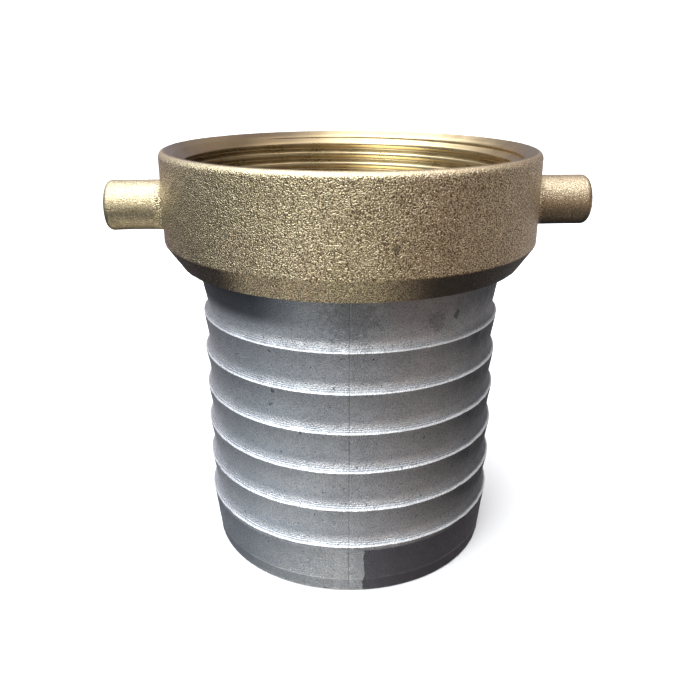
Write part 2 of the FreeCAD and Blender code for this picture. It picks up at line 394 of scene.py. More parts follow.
def crest_of(barb):
    """Radius and height of a barb's crest. Barb 0 is the lowest."""
    return END_R + BARB_RISE + barb * BARB_DRAFT, END_BAND + barb * BARB_PITCH


TOP_CREST_Z = crest_of(BARB_COUNT - 1)[1]


def shank_outline():
    """The shank's section: up the outside over the barbs, over the head and down the bore."""
    corners = [(BORE_R, 0, 0), (END_R, 0, END_ROUND)]
    for barb in range(BARB_COUNT):
        crest_r, crest_z = crest_of(barb)
        ledge = np.array([crest_r - LEDGE_WIDTH, crest_z + LEDGE_HEIGHT])
        root = np.array([crest_r - BARB_DEPTH, crest_z + LEDGE_HEIGHT + COVE_HEIGHT])
        if barb + 1 < BARB_COUNT:
            next_up = np.array(crest_of(barb + 1))
        else:
            next_up = np.array([NECK_R, NUT_LOW.z])
        leaving = (root - next_up) / np.linalg.norm(root - next_up)
        corners.append((crest_r, crest_z, CREST_ROUND))
        corners += [(r, z, 0) for r, z in reversed(cove(root, ledge, leaving))]
    head_z = SHANK_HIGH.z
    corners += [
        (NECK_R, NUT_LOW.z, 0),
        (NECK_R, head_z - FLANGE_THICKNESS, FLANGE_FILLET),
        (FLANGE_R, head_z - FLANGE_THICKNESS, SMALL_EDGE),
        (FLANGE_R, head_z, SMALL_EDGE),
        (BORE_R + BORE_CHAMFER, head_z, 0),
        (BORE_R, head_z - BORE_CHAMFER, 0),
    ]
    outline = rounded_outline(corners, SHANK_STEP)
    in_bore = outline[:, 0] < BORE_R + NEAR
    at_end = outline[:, 1] < NEAR
    kept_row = np.arange(len(outline)) % BORE_ROWS == 0
    return outline[~in_bore | kept_row | at_end]


def shank_radius(outline, angles):
    """The outline's radii round the shank, with its casting marks, and its heights."""
    r, z = carried_round(outline, angles)
    around = angles[None, :]
    offset = CAST_SWELL * Ripple(CAST_SEED, END_R, *CAST_WAVES).at(around, z)
    from_front = np.abs(angle_from(around, FRONT))
    from_back = np.abs(angle_from(around, FRONT + math.pi))
    offset -= PARTING_DEPTH * dip(np.minimum(from_front, from_back) * END_R, PARTING_WIDTH)
    wander = Ripple(CREASE_SEED, END_R, *CREASE_WAVES, CREASE_WAVE_COUNT)
    rng = np.random.default_rng(NICK_SEED)
    for barb in range(BARB_COUNT):
        crest_z = crest_of(barb)[1]
        level = z - CREASE_WANDER * wander.at(around, barb * CREASE_SHIFT)
        offset -= CREASE_DEPTH * dip(level - crest_z - LEDGE_HEIGHT, CREASE_WIDTH)
        on_crest = dip(z - crest_z, NICK_REACH)
        for _ in range(NICK_COUNT):
            where = rng.uniform(0, TURN)
            width = rng.uniform(*NICK_WIDTHS) / END_R
            depth = NICK_DEPTH * rng.uniform(NICK_SHALLOWEST, 1.0) ** 2
            offset -= depth * on_crest * dip(angle_from(around, where), width)
    marked_part = (z > PLAIN_END) & (z < SHANK_HIGH.z - PLAIN_HEAD) & (r > BORE_R + PLAIN_WALL)
    return np.where(marked_part, r + offset, r), z


def make_shank():
    """The whole shank as one closed mesh."""
    angles = grid_angles(SHANK_COLUMNS, (FRONT, FRONT + math.pi), PARTING_HALF, PARTING_COLUMNS)
    outline = shank_outline()
    radius, height = shank_radius(outline, angles)
    faces = grid_faces(len(outline), len(angles), True)
    points = ring_points(radius, height, angles)
    return make_piece("shank_casting", points, faces, [cast_aluminium()])


# The nut.

NUT_COLUMNS = 456
NUT_STEP = 0.5
# The casting's unevenness: its height, its shortest and longest waves, and its random seed.
NUT_SWELL = 0.03
NUT_WAVES = (2.5, 18.0)
NUT_SEED = 5
# The cast skin lies outside this radius and below the mouth's face, and not in mouth or recess.
SKIN_FROM_R = LIP_R - 0.96
SKIN_BELOW_FACE = 0.02
SKIN_MARGIN = 0.1
RECESS_FROM = 2.0
# How near to the plain wall a row lies on it, and to the thread's foot.
ON_WALL = 0.02
ON_FOOT = 1e-6
# A face of the thread that is lower than this was squeezed flat at an end, and is left out.
FLAT = 1e-9
# The bar of the two lugs lies a little aslant and is a little slimmer in its middle.
PIN_TILT = math.radians(0.42)
PIN_WAIST = 0.06
# The patch of the wall round each lug: columns each side, and reach down and up from its axis.
PIN_PATCH_COLUMNS = 13
PIN_PATCH_LOW = 7.55
PIN_PATCH_HIGH = 8.2
# Rows of a lug: shares of the way in over the wall, then parts of its root, bar, tip and end face.
PIN_WALL_SHARES = (0.3, 0.55, 0.75, 0.9, 1.0)
PIN_ROOT_PARTS = 6
PIN_BAR_PARTS = 20
PIN_TIP_PARTS = 8
PIN_FACE_SHARES = (0.75, 0.5, 0.25)
# The nut's two materials, by their places on the mesh.
ROUGH = 0
MACHINED = 1
# Marks on the nut's wall: degrees right of the front, height, width and strength.
BRASS_MARKS = (
    (11.4, 89.9, 1.5, 0.75),
    (3.3, 96.1, 0.8, 0.5),
    (34.2, 96.8, 0.8, 0.5),
)


def thread_cut(angle, height):
    """How deep the thread is cut at an angle and height. It falls to the right on the far wall."""
    turn = height / THREAD_PITCH - angle / TURN
    off_crest = np.abs(np.mod(turn + 0.5, 1) - 0.5) * THREAD_PITCH
    return np.clip((off_crest - THREAD_CREST_FLAT / 2) / THREAD_FLANK, 0, 1) * THREAD_DEPTH


def thread_rows(low, high):
    """Heights of the threaded wall's rows at angle 0, and how many make one turn.

    The rows follow the helix, so that its edges are crisp.
    """
    edge = THREAD_CREST_FLAT / 2
    root = edge + THREAD_FLANK
    half = [0.0, edge - THREAD_EDGE, edge + THREAD_EDGE, edge + THREAD_FLANK / 2]
    half += [root - THREAD_EDGE, root + THREAD_EDGE, THREAD_PITCH / 2]
    places = half + [THREAD_PITCH - p for p in reversed(half[1:-1])]
    first = math.floor(low / THREAD_PITCH) - THREAD_SPARE_TURNS
    last = math.ceil(high / THREAD_PITCH) + THREAD_SPARE_TURNS
    rows = [(n + p / THREAD_PITCH) * THREAD_PITCH for n in range(first, last) for p in places]
    return np.array(rows), len(places)


def mouth_cone(height):
    """Radius of the bevel above the thread. Lower down it lies inside the thread's crests."""
    return THREAD_R + np.maximum(height - MOUTH_FOOT, -1.0)


def threaded_wall(angles, low, high):
    """Points and faces of the threaded wall between two heights."""
    rows, per_turn = thread_rows(low, high)
    count = len(angles)
    base = rows[:, None] + angles[None, :] / TURN * THREAD_PITCH
    height = np.clip(base, low, high)
    radius = THREAD_R + thread_cut(angles[None, :], height)
    radius = np.maximum(radius, mouth_cone(height))
    points = ring_points(radius, height, angles)
    faces = []
    for i in range(len(rows) - 1):
        for j in range(count):
            if j + 1 < count:
                a, b = i * count + j, i * count + j + 1
                c, d = (i + 1) * count + j + 1, (i + 1) * count + j
            elif i + per_turn + 1 < len(rows):
                a, b = i * count + j, (i + per_turn) * count
                c, d = (i + per_turn + 1) * count, (i + 1) * count + j
            else:
                continue
            corners = points[[a, b, c, d], 2]
            if corners.max() - corners.min() > FLAT:
                faces.append((a, b, c, d))
    return points, faces


def nut_outline():
    """The nut's section from the mouth's bevel, over the outside, to the thread's foot.

    The run that would close it is the threaded wall, which is made apart.
    """
    low, high = NUT_LOW.z, NUT_HIGH.z
    mouth_r = THREAD_R + LEAD_IN
    corners = [
        (mouth_r, high - MOUTH_DEPTH, 0),
        (mouth_r + MOUTH_WIDTH, high, SHARP_EDGE),
        (RIM_R, high, RIM_ROUND),
        (BODY_R, low + CONE_HEIGHT, SHOULDER_ROUND),
        (LIP_R, low, LIP_ROUND),
        (REAR_HOLE_R, low, SMALL_EDGE),
        (REAR_HOLE_R, low + LIP_THICKNESS - SEAT_CHAMFER, 0),
        (REAR_HOLE_R + SEAT_CHAMFER, low + LIP_THICKNESS, 0),
        (RECESS_R, low + LIP_THICKNESS, SMALL_EDGE),
        (RECESS_R, THREAD_FOOT, 0),
        (THREAD_R, THREAD_FOOT, 0),
    ]
    outline = rounded_outline(corners, NUT_STEP)
    last = int(np.argmin(np.hypot(outline[:, 0] - THREAD_R, outline[:, 1] - THREAD_FOOT)))
    return outline[: last + 1]


def wall_radius(height):
    """Radius of the nut's body between its shoulder and its rim."""
    share = (height - NUT_LOW.z - CONE_HEIGHT) / (NUT_HIGH.z - NUT_LOW.z - CONE_HEIGHT)
    return BODY_R + (RIM_R - BODY_R) * share


def pin_lug(side, rim, swell):
    """Rows of points from a loop on the nut's wall out over one pin lug, and its faces.

    rim holds the loop's points on the wall, in order round the pin.
    """
    axis_z = PIN_Z + side * math.sin(PIN_TILT) * RIM_R
    beside = rim[:, 1:] - np.array([0.0, axis_z])
    reach = np.linalg.norm(beside, axis=1)
    way = beside / reach[:, None]
    tip_x = NUT_HIGH.x
    bar_end_x = tip_x - PIN_TIP_ROUND
    foot_r = PIN_R + PIN_ROOT_ROUND

    def loop_at(x, radii):
        """One loop of points round the pin's axis."""
        return np.stack([side * x, way[:, 0] * radii, axis_z + way[:, 1] * radii], -1)

    def wall_x(radii):
        """How far out the nut's wall lies at a loop of points."""
        y = way[:, 0] * radii
        z = axis_z + way[:, 1] * radii
        x = np.sqrt(np.maximum(wall_radius(z) ** 2 - y ** 2, 0))
        return x + NUT_SWELL * swell.at(np.arctan2(y, side * x), z) * (z < NUT_HIGH.z)

    rows = [rim]
    for share in PIN_WALL_SHARES:
        radii = reach + (foot_r - reach) * share
        rows.append(loop_at(wall_x(radii), radii))
    foot_x = wall_x(np.full(len(rim), foot_r))
    for turn in quarter_turn(PIN_ROOT_PARTS):
        radius = PIN_R + PIN_ROOT_ROUND * (1 - math.sin(turn))
        rows.append(loop_at(foot_x + PIN_ROOT_ROUND * (1 - math.cos(turn)), radius))
    start_x = np.abs(rows[-1][:, 0])
    for share in np.linspace(0, 1, PIN_BAR_PARTS + 1)[1:]:
        waist = PIN_WAIST * (np.sin(2 * way[:, 0] + side) - 1) * math.sin(math.pi * share)
        rows.append(loop_at(start_x + (bar_end_x - start_x) * share, PIN_R + waist))
    for turn in quarter_turn(PIN_TIP_PARTS):
        x = np.full(len(rim), bar_end_x + PIN_TIP_ROUND * math.sin(turn))
        rows.append(loop_at(x, PIN_R - PIN_TIP_ROUND * (1 - math.cos(turn))))
    for share in PIN_FACE_SHARES:
        rows.append(loop_at(np.full(len(rim), tip_x), (PIN_R - PIN_TIP_ROUND) * share))
    points = np.concatenate(rows + [np.array([[side * tip_x, 0.0, axis_z]])])
    out_of_wall = np.maximum(np.abs(points[:, 0]) - RIM_R - PIN_ROOT_ROUND, 0)
    points[:, 2] += out_of_wall * side * math.sin(PIN_TILT)

    faces = grid_faces(len(rows), len(rim), False)
    centre = len(points) - 1
    last = (len(rows) - 1) * len(rim)
    faces += [(last + k, last + (k + 1) % len(rim), centre) for k in range(len(rim))]
    return points, faces


def nut_body(outline, angles, swell):
    """Radii and heights of the nut's body, and which of its rows are the casting's skin."""
    r, z = outline.T
    radius, height = carried_round(outline, angles)
    run_in = THREAD_R + thread_cut(angles, np.full(len(angles), THREAD_FOOT))
    for i in np.nonzero(np.abs(z - THREAD_FOOT) < ON_FOOT)[0]:
        share = (r[i] - THREAD_R) / (RECESS_R - THREAD_R)
        radius[i] = run_in + (RECESS_R - run_in) * share
    in_mouth = (r < RIM_R - RIM_ROUND) & (z > NUT_HIGH.z - MOUTH_DEPTH - SKIN_MARGIN)
    in_recess = (r < RECESS_R + SKIN_MARGIN) & (z > NUT_LOW.z + RECESS_FROM)
    skin = (r > SKIN_FROM_R) & (z < NUT_HIGH.z - SKIN_BELOW_FACE) & ~in_recess & ~in_mouth
    lift = NUT_SWELL * swell.at(angles[None, :], height)
    return np.where(skin[:, None], radius + lift, radius), height, skin


def lug_patches(outline, skin, count):
    """Where the pin lugs join the wall: its rows and, for each side, its columns and its loop."""
    on_body = [
        i
        for i, (r, z) in enumerate(outline)
        if skin[i] and abs(r - wall_radius(z)) < ON_WALL
        and PIN_Z - PIN_PATCH_LOW <= z <= PIN_Z + PIN_PATCH_HIGH
    ]
    top, bottom = min(on_body), max(on_body)
    patches = []
    for side, middle in ((1, 0), (-1, count // 2)):
        reach = range(-PIN_PATCH_COLUMNS, PIN_PATCH_COLUMNS + 1)
        columns = [(middle + k) % count for k in reach]
        loop = [(top, j) for j in columns]
        loop += [(i, columns[-1]) for i in range(top + 1, bottom + 1)]
        loop += [(bottom, j) for j in reversed(columns[:-1])]
        loop += [(i, columns[0]) for i in range(bottom - 1, top, -1)]
        patches.append((side, set(columns[:-1]), loop))
    return range(top, bottom), patches


def make_nut():
    """The nut and its pin lugs as one closed mesh, rough outside and machined inside."""
    angles = grid_angles(NUT_COLUMNS)
    outline = nut_outline()
    count = len(angles)
    swell = Ripple(NUT_SEED, BODY_R, *NUT_WAVES)
    radius, height, skin = nut_body(outline, angles, swell)
    patch_rows, patches = lug_patches(outline, skin, count)
    body = ring_points(radius, height, angles)
    faces, which = [], []
    for number, face in enumerate(grid_faces(len(outline), count, False)):
        i, j = divmod(number, count)
        if i in patch_rows and any(j in columns for _, columns, _ in patches):
            continue
        faces.append(face)
        which.append(ROUGH if skin[i] and skin[i + 1] else MACHINED)

    added = []
    for side, _, loop in patches:
        rim = body[[i * count + j for i, j in loop]]
        added.append((*pin_lug(side, rim, swell), ROUGH))
    added.append((*threaded_wall(angles, THREAD_FOOT, NUT_HIGH.z - MOUTH_DEPTH), MACHINED))
    points = [body]
    offset = len(body)
    for more, more_faces, material in added:
        points.append(more)
        faces += [tuple(offset + k for k in face) for face in more_faces]
        which += [material] * len(more_faces)
        offset += len(more)
    materials = [cast_brass(), machined_brass()]
    return make_piece("nut_casting", np.concatenate(points), faces, materials, which)


# The washer.

GASKET_COLUMNS = 256
GASKET_STEP = 0.8
GASKET_ARC_PARTS = 4


def make_gasket():
    """The rubber washer, a ring with soft edges."""
    low, high = GASKET_LOW.z, GASKET_HIGH.z
    hole = BORE_R + GASKET_SETBACK
    outer = GASKET_HIGH.x
    corners = [
        (hole, low, SHARP_EDGE),
        (outer, low, WASHER_EDGE),
        (outer, high, WASHER_EDGE),
        (hole, high, SHARP_EDGE),
    ]
    outline = rounded_outline(corners, GASKET_STEP, GASKET_ARC_PARTS)
    angles = grid_angles(GASKET_COLUMNS)
    points = ring_points(*carried_round(outline, angles), angles)
    faces = grid_faces(len(outline), len(angles), True)
    return make_piece("washer", points, faces, [rubber()])


# Materials, all in the part's own space.


class Nodes:
    """A node tree with short calls for the nodes used here."""

    def __init__(self, owner, place):
        owner.use_nodes = True
        self.tree = owner.node_tree
        self.place = self.tree.nodes.new("ShaderNodeTexCoord").outputs[place]

    def link(self, value, socket):
        """Sets a socket to a number or colour, or links it."""
        if isinstance(value, bpy.types.NodeSocket):
            self.tree.links.new(value, socket)
        else:
            socket.default_value = value

    def node(self, kind, **settings):
        """A new node with its properties set."""
        made = self.tree.nodes.new(kind)
        for name, value in settings.items():
            setattr(made, name, value)
        return made

    def math(self, kind, a, b=0.0, clamp=False):
        """One arithmetic step."""
        made = self.node("ShaderNodeMath", operation=kind, use_clamp=clamp)
        self.link(a, made.inputs[0])
        self.link(b, made.inputs[1])
        return made.outputs[0]

    def along(self, direction):
        """How far the place lies along a direction."""
        made = self.node("ShaderNodeVectorMath", operation="DOT_PRODUCT")
        self.link(self.place, made.inputs[0])
        made.inputs[1].default_value = direction
        return made.outputs["Value"]


class Shader(Nodes):
    """A material and its surface shader, in the part's own space."""

    def __init__(self, name):
        self.material = bpy.data.materials.new(name)
        super().__init__(self.material, "Object")
        self.surface = self.tree.nodes["Principled BSDF"]

    def noise(self, size, detail=2.0, rough=0.5, stretch=(1, 1, 1), shift=0.0):
        """Smooth noise from 0 to 1 whose features are about size millimetres across."""
        mapping = self.node("ShaderNodeMapping")
        self.link(self.place, mapping.inputs["Vector"])
        mapping.inputs["Scale"].default_value = stretch
        mapping.inputs["Location"].default_value = (shift, shift, shift)
        made = self.node("ShaderNodeTexNoise")
        self.link(mapping.outputs["Vector"], made.inputs["Vector"])
        made.inputs["Scale"].default_value = 1 / (size * MM)
        made.inputs["Detail"].default_value = detail
        made.inputs["Roughness"].default_value = rough
        return made.outputs["Fac"]

    def ramp(self, value, low, high, start=0.0, end=1.0):
        """Takes a value from low..high to start..end, smoothly and held at the ends."""
        made = self.node("ShaderNodeMapRange", interpolation_type="SMOOTHSTEP")
        self.link(value, made.inputs["Value"])
        made.inputs["From Min"].default_value = low
        made.inputs["From Max"].default_value = high
        made.inputs["To Min"].default_value = start
        made.inputs["To Max"].default_value = end
        return made.outputs["Result"]

    def over(self, length, low, high, start=0.0, end=1.0):
        """A ramp over a length, from one length in millimetres to another."""
        return self.ramp(length, low * MM, high * MM, start, end)

    def times(self, *factors):
        """The product of all factors."""
        total = factors[0]
        for factor in factors[1:]:
            total = self.math("MULTIPLY", total, factor)
        return total

    def rest(self, share):
        """What a share leaves of 1."""
        return self.math("SUBTRACT", 1.0, share)

    def swing(self, noise, reach):
        """Noise centred on 0, from minus to plus half a reach."""
        return self.times(self.math("SUBTRACT", noise, 0.5), reach)

    def mix(self, share, a, b):
        """A colour between two colours."""
        made = self.node("ShaderNodeMix", data_type="RGBA")
        self.link(share, made.inputs["Factor"])
        self.link(a, made.inputs["A"])
        self.link(b, made.inputs["B"])
        return made.outputs["Result"]

    def distance(self, point):
        """Distance from a point, in metres."""
        made = self.node("ShaderNodeVectorMath", operation="DISTANCE")
        self.link(self.place, made.inputs[0])
        made.inputs[1].default_value = point
        return made.outputs["Value"]

    def bump(self, height, depth, normal=None):
        """Surface relief of a depth in millimetres."""
        made = self.node("ShaderNodeBump")
        made.inputs["Strength"].default_value = 1.0
        made.inputs["Distance"].default_value = depth * MM
        self.link(height, made.inputs["Height"])
        if normal is not None:
            self.link(normal, made.inputs["Normal"])
        return made.outputs["Normal"]

    def finish(self, **sockets):
        """Sets or links the surface shader's sockets by name."""
        for name, value in sockets.items():
            self.link(value, self.surface.inputs[name.replace("_", " ")])
        return self.material


# Colours of the aluminium's skin, of the marks on it, and of its painted glints, highlight and
# shade.
SKIN_DIM = (0.67, 0.71, 0.76, 1)
SKIN_PALE = (0.79, 0.825, 0.87, 1)
SKIN_MOTTLE = (0.5, 0.52, 0.56, 1)
SKIN_GRIT = (0.26, 0.27, 0.29, 1)
# Painted glints: white specks over the skin.
PAINTED_SKIN_GLINT = (0.97, 0.98, 0.99, 1)
SKIN_PIT = (0.2, 0.2, 0.21, 1)
# Painted shade: under each crest, to the right, higher up and on the neck under the nut.
PAINTED_SKIN_SHADE = (0.085, 0.095, 0.108, 1)
# Painted highlight along each crest.
PAINTED_CREST_HIGHLIGHT = (0.96, 0.97, 0.98, 1)
LEDGE_LINE = (0.25, 0.26, 0.28, 1)
PARTING_LINE = (0.2, 0.2, 0.22, 1)
STAIN = (0.08, 0.085, 0.09, 1)
# Painted shade over the left of the end band.
PAINTED_END_SHADE = (0.15, 0.18, 0.21, 1)
END_ON_RIGHT = (0.12, 0.12, 0.15, 1)
END_SCUFF = (0.78, 0.82, 0.88, 1)


def cast_aluminium():
    """Satin cast aluminium with a gritty skin, soft mottling, pits and the marks of the photo."""
    s = Shader("cast_aluminium")
    cloud = s.noise(9.0, 3.0, 0.55)
    mottle = s.noise(1.8, 3.0, 0.6, shift=0.3)
    grit = s.noise(0.34, 1.0, 0.6)
    glint_noise = s.noise(0.32, 1.0, 0.5, shift=0.5)
    off_pits = s.ramp(s.noise(0.9, 1.0, 0.5, shift=0.7), 0.22, 0.29)
    skin = s.mix(s.ramp(cloud, 0.3, 0.7), SKIN_DIM, SKIN_PALE)
    skin = s.mix(s.ramp(mottle, 0.35, 0.7, 0.0, 0.35), skin, SKIN_MOTTLE)
    skin = s.mix(s.ramp(grit, 0.3, 0.52, 0.6, 0.0), skin, SKIN_GRIT)
    # Painted glints: white specks scattered over the skin.
    skin = s.mix(s.ramp(glint_noise, 0.58, 0.7, 0.0, 0.9), skin, PAINTED_SKIN_GLINT)
    skin = s.mix(s.rest(off_pits), skin, SKIN_PIT)
    outside = on_outside(s)
    lines = s.times(ledge_lines(s), outside)
    base = s.mix(outside, skin, shank_marks(s, skin, lines))
    rough = s.ramp(mottle, 0.3, 0.7, 0.46, 0.58)
    relief = s.bump(grit, 0.15)
    relief = s.bump(mottle, 0.05, relief)
    relief = s.bump(off_pits, 0.06, relief)
    relief = s.bump(s.rest(lines), 0.07, relief)
    return s.finish(Base_Color=base, Metallic=0.85, Roughness=rough, Normal=relief)


def shank_marks(s, base, lines):
    """The marks on the shank's outside, laid over its skin."""
    # Painted shade under each crest, to the right, higher up and under the nut.
    base = s.mix(painted_shade(s), base, PAINTED_SKIN_SHADE)
    # Painted highlight: a thin bright line just above each crest.
    wear_and_highlight = s.over(above_crest(s, s.along(UP)), 0.2, 0.4, 0.6, 0.0)
    base = s.mix(wear_and_highlight, base, PAINTED_CREST_HIGHLIGHT)
    base = s.mix(s.times(lines, 0.5), base, LEDGE_LINE)
    base = parting_line(s, base)
    base = marked(s, base, STAINS, STAIN_R, STAIN)
    return end_band(s, base)


def on_outside(s):
    """1 on the shank's outside, 0 down its bore."""
    level = s.node("ShaderNodeVectorMath", operation="MULTIPLY")
    s.link(s.place, level.inputs[0])
    level.inputs[1].default_value = (1, 1, 0)
    length = s.node("ShaderNodeVectorMath", operation="LENGTH")
    s.link(level.outputs["Vector"], length.inputs[0])
    return s.over(length.outputs["Value"], BORE_R + 0.5, BORE_R + 1.5)


def above_crest(s, height):
    """How far a height lies above the crest below it."""
    above_first = s.math("SUBTRACT", height, END_BAND * MM)
    on_barbs = s.math("FLOORED_MODULO", above_first, BARB_PITCH * MM)
    above_last = s.math("SUBTRACT", height, TOP_CREST_Z * MM)
    return s.math("MAXIMUM", on_barbs, above_last)


def to_the_front(s):
    """1 over the front half, which the photo shows, falling to a quarter behind."""
    return s.over(s.along(FORWARD), -22, 0, 0.25, 1.0)


def painted_shade(s):
    """How much painted shade the skin takes: under each crest, to the right, higher up, and on the
    neck in the nut's shadow.
    """
    height = s.along(UP)
    aside = s.along(RIGHT)
    above = above_crest(s, height)
    under_crest = s.over(above, 3.0, 9.8, 0.0, 0.26)
    off_ledge = s.over(above, 0.4, 0.75)
    far_right = s.over(aside, 14, 36, 0.0, 0.66)
    low_right = s.over(aside, 6, 20, 0.0, 0.26)
    lower_down = s.over(height, 20, 60, 1.0, 0.0)
    higher_up = s.over(height, 18, 58, 0.0, 0.2)
    below_neck = s.over(height, 62, 68, 1.0, 0.8)
    right = s.math("ADD", far_right, s.times(low_right, lower_down))
    right = s.times(right, below_neck, to_the_front(s))
    spread = s.times(off_ledge, s.math("ADD", right, higher_up))
    near_nut = s.over(height, NUT_LOW.z - 11.5, NUT_LOW.z - 6.0)
    neck_left = s.over(aside, -24, -8, 0.95, 0.46)
    neck_right = s.over(aside, 26, 36, 0.0, 0.52)
    # The nut's shadow on the neck, painted: most on the left, some on the right.
    neck_shade = s.times(near_nut, s.math("MAXIMUM", neck_left, neck_right), to_the_front(s))
    return s.math("MAXIMUM", s.math("ADD", under_crest, spread), neck_shade, clamp=True)


def ledge_lines(s):
    """Fine lines that run round above each crest, left by the turned pattern."""
    wander = s.swing(s.noise(12.0, 2.0, 0.5, shift=0.8), 0.25 * MM)
    above = above_crest(s, s.math("ADD", s.along(UP), wander))
    total = 0.0
    for rise, strength in LEDGE_LINES:
        off = s.math("ABSOLUTE", s.math("SUBTRACT", above, rise * MM))
        total = s.math("ADD", total, s.over(off, 0.04, 0.14, strength, 0.0))
    wear_and_highlight = s.ramp(s.noise(4.0, 2.0, 0.6, shift=0.15), 0.35, 0.6, 0.35, 1.0)
    return s.times(total, wear_and_highlight)


def parting_line(s, base):
    """The dark hairline where the mould's halves met, broken in places."""
    aside = s.math("ABSOLUTE", s.along(RIGHT))
    near = s.over(aside, 0.05, 0.22, 1.0, 0.0)
    broken = s.ramp(s.noise(5.0, 1.0, 0.5, shift=0.9), 0.35, 0.6, 0.1, 0.45)
    below_neck = s.over(s.along(UP), TOP_CREST_Z + 1.0, TOP_CREST_Z + 5.0, 1.0, 0.2)
    return s.mix(s.times(near, broken, below_neck), base, PARTING_LINE)


def marked(s, base, marks, radius, colour):
    """Soft ragged stains and small dark marks, each at its place on a round surface."""
    ragged = s.swing(s.noise(1.1, 3.0, 0.7, shift=0.4), 1.8)
    for angle, height, across, strength in marks:
        centre = on_front(angle, height, radius)
        away = s.math("ADD", s.distance(centre), s.times(ragged, across * MM))
        share = s.over(away, across * 0.35, across * 0.6, strength, 0.0)
        base = s.mix(share, base, colour)
    return base


def end_band(s, base):
    """The band at the hose end: painted shade over its left, dark skin right of the front, with a
    scuffed patch at its edge.
    """
    aside = s.along(RIGHT)
    place = s.math("ADD", aside, s.swing(s.noise(3.0, 3.0, 0.6, shift=0.1), 2.4 * MM))
    low = s.over(s.along(UP), END_BAND - 1.3, END_BAND - 0.5, 1.0, 0.0)
    # Painted shade over the left of the band, darkest far left.
    left = s.times(low, s.over(aside, -30, -4, 0.5, 0.15))
    base = s.mix(left, base, PAINTED_END_SHADE)
    right = s.over(place, DARK_FROM, DARK_FROM + 0.25)
    dark = s.times(right, low, 0.85, to_the_front(s))
    base = s.mix(dark, base, END_ON_RIGHT)
    patch = s.times(s.over(place, -4.6, -3.0), low, s.rest(right))
    front = s.over(s.along(FORWARD), 0, 1)
    scratches = s.noise(0.5, 2.0, 0.5, stretch=(0.3, 0.3, 1.5), shift=0.6)
    scratched = s.ramp(scratches, 0.35, 0.65, 0.1, 0.6)
    return s.mix(s.times(patch, front, scratched), base, END_SCUFF)


# Colours of the cast brass, of the marks on it, and of its painted glints and shade.
BRASS_DIM = (0.60, 0.51, 0.31, 1)
BRASS_PALE = (0.72, 0.615, 0.395, 1)
BRASS_RUDDY = (0.7, 0.5, 0.36, 1)
BRASS_PIT = (0.15, 0.11, 0.07, 1)
# Painted glints on the grain's high points.
PAINTED_BRASS_GLINT = (1.0, 0.89, 0.63, 1)
# Painted shade on the left side of the wall.
PAINTED_BRASS_SHADE = (0.3, 0.24, 0.15, 1)
BRASS_MARK = (0.09, 0.07, 0.06, 1)
# Painted shade on the cone's sides and under the lugs.
PAINTED_DEEP_SHADE = (0.05, 0.042, 0.036, 1)
# Colours of the turned brass in the mouth and in the thread, and of their painted shade, dark
# reflection and highlight.
TURNED_DIM = (0.54, 0.42, 0.235, 1)
TURNED_PALE = (0.66, 0.52, 0.305, 1)
# Painted shade on the left of the thread.
PAINTED_THREAD_SHADE = (0.12, 0.08, 0.05, 1)
# Painted highlight in the thread right of the middle.
PAINTED_THREAD_HIGHLIGHT = (0.98, 0.84, 0.52, 1)
# Painted dark reflection on the left of the mouth's bevel.
PAINTED_MOUTH_REFLECTION = (0.14, 0.1, 0.065, 1)


def cast_brass():
    """Sand-cast brass: painted glints on the grain over an olive brown skin, worn smooth on rim and
    lugs, with painted shade on the left, on the cone's sides and under the lugs.
    """
    s = Shader("cast_brass")
    aside = s.along(RIGHT)
    rim = s.over(s.along(UP), NUT_HIGH.z - 1.3, NUT_HIGH.z - 0.3, 0.0, 0.65)
    outward = s.math("ABSOLUTE", s.along(TO_LUG))
    lugs = s.over(outward, RIM_R + 0.5, RIM_R + 2.0, 0.0, 0.5)
    unworn = s.rest(s.math("MAXIMUM", rim, lugs))
    grain = s.noise(0.29, 1.0, 0.5)
    cloud = s.noise(14.0, 3.0, 0.6)
    base = s.mix(s.ramp(cloud, 0.3, 0.7), BRASS_DIM, BRASS_PALE)
    ruddy = s.ramp(s.noise(22.0, 2.0, 0.5, shift=0.2), 0.5, 0.65, 0.0, 0.35)
    ruddy_right = s.over(aside, 3, 17, 0.0, 0.45)
    base = s.mix(s.math("MAXIMUM", ruddy, ruddy_right), base, BRASS_RUDDY)
    base = s.mix(s.times(s.ramp(grain, 0.37, 0.55, 0.95, 0.0), unworn), base, BRASS_PIT)
    # Painted glints: bright specks of the grain.
    base = s.mix(s.ramp(grain, 0.54, 0.69, 0.0, 0.95), base, PAINTED_BRASS_GLINT)
    # Painted shade over the left of the wall.
    left_shade = s.times(s.over(aside, -44, -32, 0.0, 0.28), s.over(aside, -26, -8, 1.0, 0.0))
    base = s.mix(left_shade, base, PAINTED_BRASS_SHADE)
    base = marked(s, base, BRASS_MARKS, BODY_R, BRASS_MARK)
    # Painted shade on the cone's sides and under the lugs.
    base = s.mix(s.math("MAXIMUM", cone_painted_shade(s), lug_painted_shade(s)), base, PAINTED_DEEP_SHADE)
    rough = s.math("ADD", s.ramp(grain, 0.35, 0.65, 0.42, 0.28), s.times(lugs, 0.1))
    relief = s.bump(s.times(grain, unworn), 0.34)
    return s.finish(Base_Color=base, Metallic=1.0, Roughness=rough, Normal=relief)


def cone_painted_shade(s):
    """Painted shade on the cone under the shoulder: dark on both sides, its front left light."""
    shoulder_z = NUT_LOW.z + CONE_HEIGHT
    on_cone = s.over(s.along(UP), shoulder_z - 0.3, shoulder_z + 0.3, 1.0, 0.0)
    aside = s.along(RIGHT)
    left = s.over(aside, -30, -21, 0.93, 0.0)
    right = s.over(aside, 4, 20, 0.0, 0.92)
    sides = s.times(s.math("ADD", left, right), to_the_front(s))
    return s.times(on_cone, sides)


